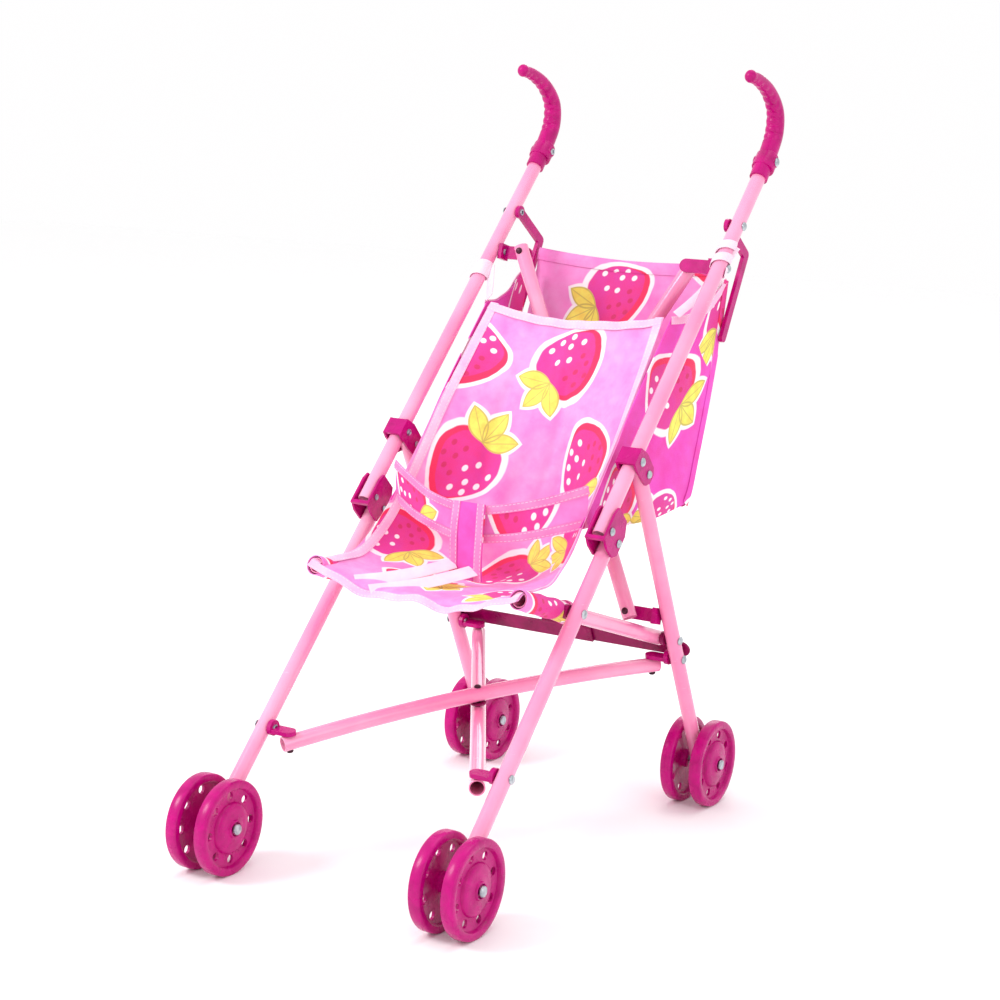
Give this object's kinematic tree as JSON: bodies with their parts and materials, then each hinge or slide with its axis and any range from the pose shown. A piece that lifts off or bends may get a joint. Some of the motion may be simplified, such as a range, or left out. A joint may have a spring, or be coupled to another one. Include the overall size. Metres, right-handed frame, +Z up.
{
  "type": "doll stroller",
  "caption": "Umbrella-folding doll stroller: two tube side frames with hook grips, crossed bars, twin-disc wheels, a hung fabric seat with a belt and a rear bag.",
  "frame": {"origin": "middle of the bounding box on the ground", "axes": "+Z up, the front faces -Y, +X to the right seen from the front camera side"},
  "size_m": [0.2346, 0.4596, 0.5577],
  "materials": {
    "painted_tube": "satin pink paint",
    "moulding": "glossy magenta",
    "dark_moulding": "dark magenta",
    "steel": "zinc plated",
    "print_cloth": "printed woven polyester",
    "ribbon": "satin ribbon"
  },
  "bodies": {
    "seat": {"seat_back": "print_cloth", "seat_base": "print_cloth", "rear_bag": "print_cloth", "waist_belt": "print_cloth", "crotch_strap": "print_cloth"},
    "left_handle": {"left_handle_tube": "painted_tube", "left_grip": "moulding", "left_rear_clamp": "moulding", "left_rear_leg_pin": "steel", "left_tie": "ribbon"},
    "left_knee": {"left_knee_bracket": "moulding", "left_knee_rivet": "steel", "left_knee_pin": "steel"},
    "left_front_leg": {"left_front_leg": "painted_tube", "front_left_axle": "steel", "left_front_rail_spacer": "dark_moulding"},
    "left_rear_leg": {"left_rear_leg": "painted_tube", "rear_left_axle": "steel", "left_rear_rail_spacer": "dark_moulding"},
    "left_seat_rail": {"left_seat_rail": "painted_tube"},
    "left_back_bar_top_bracket": {"left_back_bar_top_bracket": "moulding"},
    "left_back_bar_low_bracket": {"left_back_bar_low_bracket": "moulding"},
    "left_front_bar_bracket": {"left_front_bar_bracket": "moulding"},
    "left_rear_bar_bracket": {"left_rear_bar_bracket": "moulding"},
    "left_back_bar": {"left_back_bar": "painted_tube"},
    "left_bottom_bar": {"left_bottom_bar": "painted_tube", "bottom_bar_spacer": "dark_moulding"},
    "left_brace_link": {"left_brace_link": "dark_moulding"},
    "left_bag_arm": {"left_bag_arm": "moulding"},
    "front_left_outer_wheel": {"front_left_outer_wheel": "moulding"},
    "front_left_inner_wheel": {"front_left_inner_wheel": "moulding"},
    "rear_left_outer_wheel": {"rear_left_outer_wheel": "moulding"},
    "rear_left_inner_wheel": {"rear_left_inner_wheel": "moulding"},
    "right_handle": {"right_handle_tube": "painted_tube", "right_grip": "moulding", "right_rear_clamp": "moulding", "right_rear_leg_pin": "steel", "right_tie": "ribbon"},
    "right_knee": {"right_knee_bracket": "moulding", "right_knee_rivet": "steel", "right_knee_pin": "steel"},
    "right_front_leg": {"right_front_leg": "painted_tube", "front_right_axle": "steel", "right_front_rail_spacer": "dark_moulding"},
    "right_rear_leg": {"right_rear_leg": "painted_tube", "rear_right_axle": "steel", "right_rear_rail_spacer": "dark_moulding"},
    "right_seat_rail": {"right_seat_rail": "painted_tube"},
    "right_back_bar_top_bracket": {"right_back_bar_top_bracket": "moulding"},
    "right_back_bar_low_bracket": {"right_back_bar_low_bracket": "moulding"},
    "right_front_bar_bracket": {"right_front_bar_bracket": "moulding"},
    "right_rear_bar_bracket": {"right_rear_bar_bracket": "moulding"},
    "right_back_bar": {"right_back_bar": "painted_tube"},
    "right_bottom_bar": {"right_bottom_bar": "painted_tube"},
    "right_brace_link": {"right_brace_link": "dark_moulding"},
    "right_bag_arm": {"right_bag_arm": "moulding"},
    "front_right_outer_wheel": {"front_right_outer_wheel": "moulding"},
    "front_right_inner_wheel": {"front_right_inner_wheel": "moulding"},
    "rear_right_outer_wheel": {"rear_right_outer_wheel": "moulding"},
    "rear_right_inner_wheel": {"rear_right_inner_wheel": "moulding"}
  },
  "joints": [
    {"name": "fold", "type": "slide", "parent": "seat", "child": "left_handle", "axis": [1, 0, 0], "range_m": [0, 0.0465], "deforming": ["seat_back", "seat_base", "rear_bag", "waist_belt", "crotch_strap"]},
    {"name": "left_knee_turn", "type": "hinge", "parent": "left_handle", "child": "left_knee", "pos_m": [-0.097, -0.0258, 0.237], "axis": [1, 0, 0], "range_deg": [-32.02, 0]},
    {"name": "left_front_leg_turn", "type": "hinge", "parent": "left_knee", "child": "left_front_leg", "pos_m": [-0.097, -0.01521, 0.22709], "axis": [1, 0, 0], "range_deg": [-32.02, 0]},
    {"name": "left_rear_leg_turn", "type": "hinge", "parent": "left_handle", "child": "left_rear_leg", "pos_m": [-0.097, 0.02544, 0.27054], "axis": [1, 0, 0], "range_deg": [-28.25, 0]},
    {"name": "left_seat_rail_turn", "type": "hinge", "parent": "left_front_leg", "child": "left_seat_rail", "pos_m": [-0.082, -0.05553, 0.18401], "axis": [1, 0, 0], "range_deg": [0, 31.66]},
    {"name": "left_back_top_bracket_turn", "type": "hinge", "parent": "left_handle", "child": "left_back_bar_top_bracket", "pos_m": [-0.097, 0.14111, 0.40951], "axis": [1, 0, 0], "range_deg": [-11.02, 0]},
    {"name": "left_back_low_bracket_turn", "type": "hinge", "parent": "left_rear_leg", "child": "left_back_bar_low_bracket", "pos_m": [-0.097, 0.08087, 0.15731], "axis": [1, 0, 0], "range_deg": [0, 17.25]},
    {"name": "left_front_bracket_turn", "type": "hinge", "parent": "left_front_leg", "child": "left_front_bar_bracket", "pos_m": [-0.097, -0.14367, 0.08982], "axis": [1, 0, 0], "range_deg": [0, 18.77]},
    {"name": "left_rear_bracket_turn", "type": "hinge", "parent": "left_rear_leg", "child": "left_rear_bar_bracket", "pos_m": [-0.097, 0.10405, 0.12207], "axis": [1, 0, 0], "range_deg": [-17.04, 0]},
    {"name": "left_back_bar_turn", "type": "hinge", "parent": "left_back_bar_top_bracket", "child": "left_back_bar", "pos_m": [-0.069, 0.13527, 0.4109], "axis": [0, 0.9726, -0.2323], "range_deg": [0, 20.25]},
    {"name": "left_bottom_bar_turn", "type": "hinge", "parent": "left_front_bar_bracket", "child": "left_bottom_bar", "pos_m": [-0.076, -0.14251, 0.0809], "axis": [0, 0.1291, -0.9916], "range_deg": [-19.75, 0]},
    {"name": "left_brace_turn", "type": "hinge", "parent": "left_rear_leg", "child": "left_brace_link", "pos_m": [-0.097, 0.10957, 0.12725], "axis": [0, 0.8838, 0.4679], "range_deg": [0, 58.65]},
    {"name": "left_bag_arm_turn", "type": "hinge", "parent": "left_handle", "child": "left_bag_arm", "pos_m": [-0.097, 0.16415, 0.43999], "axis": [1, 0, 0], "range_deg": [0, 30.02]},
    {"name": "front_left_outer_wheel_spin", "type": "hinge", "parent": "left_front_leg", "child": "front_left_outer_wheel", "pos_m": [-0.109, -0.19711, 0.03272], "axis": [1, 0, 0], "continuous": true},
    {"name": "front_left_inner_wheel_spin", "type": "hinge", "parent": "left_front_leg", "child": "front_left_inner_wheel", "pos_m": [-0.085, -0.19711, 0.03272], "axis": [1, 0, 0], "continuous": true},
    {"name": "rear_left_outer_wheel_spin", "type": "hinge", "parent": "left_rear_leg", "child": "rear_left_outer_wheel", "pos_m": [-0.109, 0.15136, 0.03272], "axis": [1, 0, 0], "continuous": true},
    {"name": "rear_left_inner_wheel_spin", "type": "hinge", "parent": "left_rear_leg", "child": "rear_left_inner_wheel", "pos_m": [-0.085, 0.15136, 0.03272], "axis": [1, 0, 0], "continuous": true},
    {"name": "right_side_in", "type": "slide", "parent": "seat", "child": "right_handle", "axis": [-1, 0, 0], "range_m": [0, 0.0466]},
    {"name": "right_knee_turn", "type": "hinge", "parent": "right_handle", "child": "right_knee", "pos_m": [0.097, -0.0258, 0.237], "axis": [1, 0, 0], "range_deg": [-32.02, 0]},
    {"name": "right_front_leg_turn", "type": "hinge", "parent": "right_knee", "child": "right_front_leg", "pos_m": [0.097, -0.01521, 0.22709], "axis": [1, 0, 0], "range_deg": [-32.02, 0]},
    {"name": "right_rear_leg_turn", "type": "hinge", "parent": "right_handle", "child": "right_rear_leg", "pos_m": [0.097, 0.02544, 0.27054], "axis": [1, 0, 0], "range_deg": [-28.25, 0]},
    {"name": "right_seat_rail_turn", "type": "hinge", "parent": "right_front_leg", "child": "right_seat_rail", "pos_m": [0.082, -0.05553, 0.18401], "axis": [1, 0, 0], "range_deg": [0, 31.66]},
    {"name": "right_back_top_bracket_turn", "type": "hinge", "parent": "right_handle", "child": "right_back_bar_top_bracket", "pos_m": [0.097, 0.14111, 0.40951], "axis": [1, 0, 0], "range_deg": [-11.02, 0]},
    {"name": "right_back_low_bracket_turn", "type": "hinge", "parent": "right_rear_leg", "child": "right_back_bar_low_bracket", "pos_m": [0.097, 0.08087, 0.15731], "axis": [1, 0, 0], "range_deg": [0, 17.25]},
    {"name": "right_front_bracket_turn", "type": "hinge", "parent": "right_front_leg", "child": "right_front_bar_bracket", "pos_m": [0.097, -0.14367, 0.08982], "axis": [1, 0, 0], "range_deg": [0, 18.77]},
    {"name": "right_rear_bracket_turn", "type": "hinge", "parent": "right_rear_leg", "child": "right_rear_bar_bracket", "pos_m": [0.097, 0.10405, 0.12207], "axis": [1, 0, 0], "range_deg": [-17.04, 0]},
    {"name": "right_back_bar_turn", "type": "hinge", "parent": "right_back_bar_top_bracket", "child": "right_back_bar", "pos_m": [0.069, 0.14694, 0.40811], "axis": [0, 0.9726, -0.2323], "range_deg": [-20.25, 0]},
    {"name": "right_bottom_bar_turn", "type": "hinge", "parent": "right_front_bar_bracket", "child": "right_bottom_bar", "pos_m": [0.076, -0.14251, 0.0809], "axis": [0, 0.1291, -0.9916], "range_deg": [0, 19.75]},
    {"name": "right_brace_turn", "type": "hinge", "parent": "right_rear_leg", "child": "right_brace_link", "pos_m": [0.097, 0.10957, 0.12725], "axis": [0, 0.8838, 0.4679], "range_deg": [-58.65, 0]},
    {"name": "right_bag_arm_turn", "type": "hinge", "parent": "right_handle", "child": "right_bag_arm", "pos_m": [0.097, 0.16415, 0.43999], "axis": [1, 0, 0], "range_deg": [0, 30.02]},
    {"name": "front_right_outer_wheel_spin", "type": "hinge", "parent": "right_front_leg", "child": "front_right_outer_wheel", "pos_m": [0.109, -0.19711, 0.03272], "axis": [1, 0, 0], "continuous": true},
    {"name": "front_right_inner_wheel_spin", "type": "hinge", "parent": "right_front_leg", "child": "front_right_inner_wheel", "pos_m": [0.085, -0.19711, 0.03272], "axis": [1, 0, 0], "continuous": true},
    {"name": "rear_right_outer_wheel_spin", "type": "hinge", "parent": "right_rear_leg", "child": "rear_right_outer_wheel", "pos_m": [0.109, 0.15136, 0.03272], "axis": [1, 0, 0], "continuous": true},
    {"name": "rear_right_inner_wheel_spin", "type": "hinge", "parent": "right_rear_leg", "child": "rear_right_inner_wheel", "pos_m": [0.085, 0.15136, 0.03272], "axis": [1, 0, 0], "continuous": true}
  ],
  "couplings": [
    {"joint": "left_knee_turn", "follows": "fold", "rad_per_m": -12.011},
    {"joint": "left_front_leg_turn", "follows": "fold", "rad_per_m": -12.011},
    {"joint": "left_rear_leg_turn", "follows": "fold", "rad_per_m": -10.596},
    {"joint": "left_seat_rail_turn", "follows": "fold", "rad_per_m": 11.876},
    {"joint": "left_back_top_bracket_turn", "follows": "fold", "rad_per_m": -4.1299},
    {"joint": "left_back_low_bracket_turn", "follows": "fold", "rad_per_m": 6.4664},
    {"joint": "left_front_bracket_turn", "follows": "fold", "rad_per_m": 7.0361},
    {"joint": "left_rear_bracket_turn", "follows": "fold", "rad_per_m": -6.3894},
    {"joint": "left_back_bar_turn", "follows": "fold", "rad_per_m": 7.5935},
    {"joint": "left_bottom_bar_turn", "follows": "fold", "rad_per_m": -7.407},
    {"joint": "left_brace_turn", "follows": "fold", "rad_per_m": 22.005},
    {"joint": "right_side_in", "follows": "fold", "ratio": 1},
    {"joint": "right_knee_turn", "follows": "fold", "rad_per_m": -12.011},
    {"joint": "right_front_leg_turn", "follows": "fold", "rad_per_m": -12.011},
    {"joint": "right_rear_leg_turn", "follows": "fold", "rad_per_m": -10.596},
    {"joint": "right_seat_rail_turn", "follows": "fold", "rad_per_m": 11.876},
    {"joint": "right_back_top_bracket_turn", "follows": "fold", "rad_per_m": -4.1299},
    {"joint": "right_back_low_bracket_turn", "follows": "fold", "rad_per_m": 6.4664},
    {"joint": "right_front_bracket_turn", "follows": "fold", "rad_per_m": 7.0361},
    {"joint": "right_rear_bracket_turn", "follows": "fold", "rad_per_m": -6.3894},
    {"joint": "right_back_bar_turn", "follows": "fold", "rad_per_m": -7.5935},
    {"joint": "right_bottom_bar_turn", "follows": "fold", "rad_per_m": 7.407},
    {"joint": "right_brace_turn", "follows": "fold", "rad_per_m": -22.005}
  ]
}
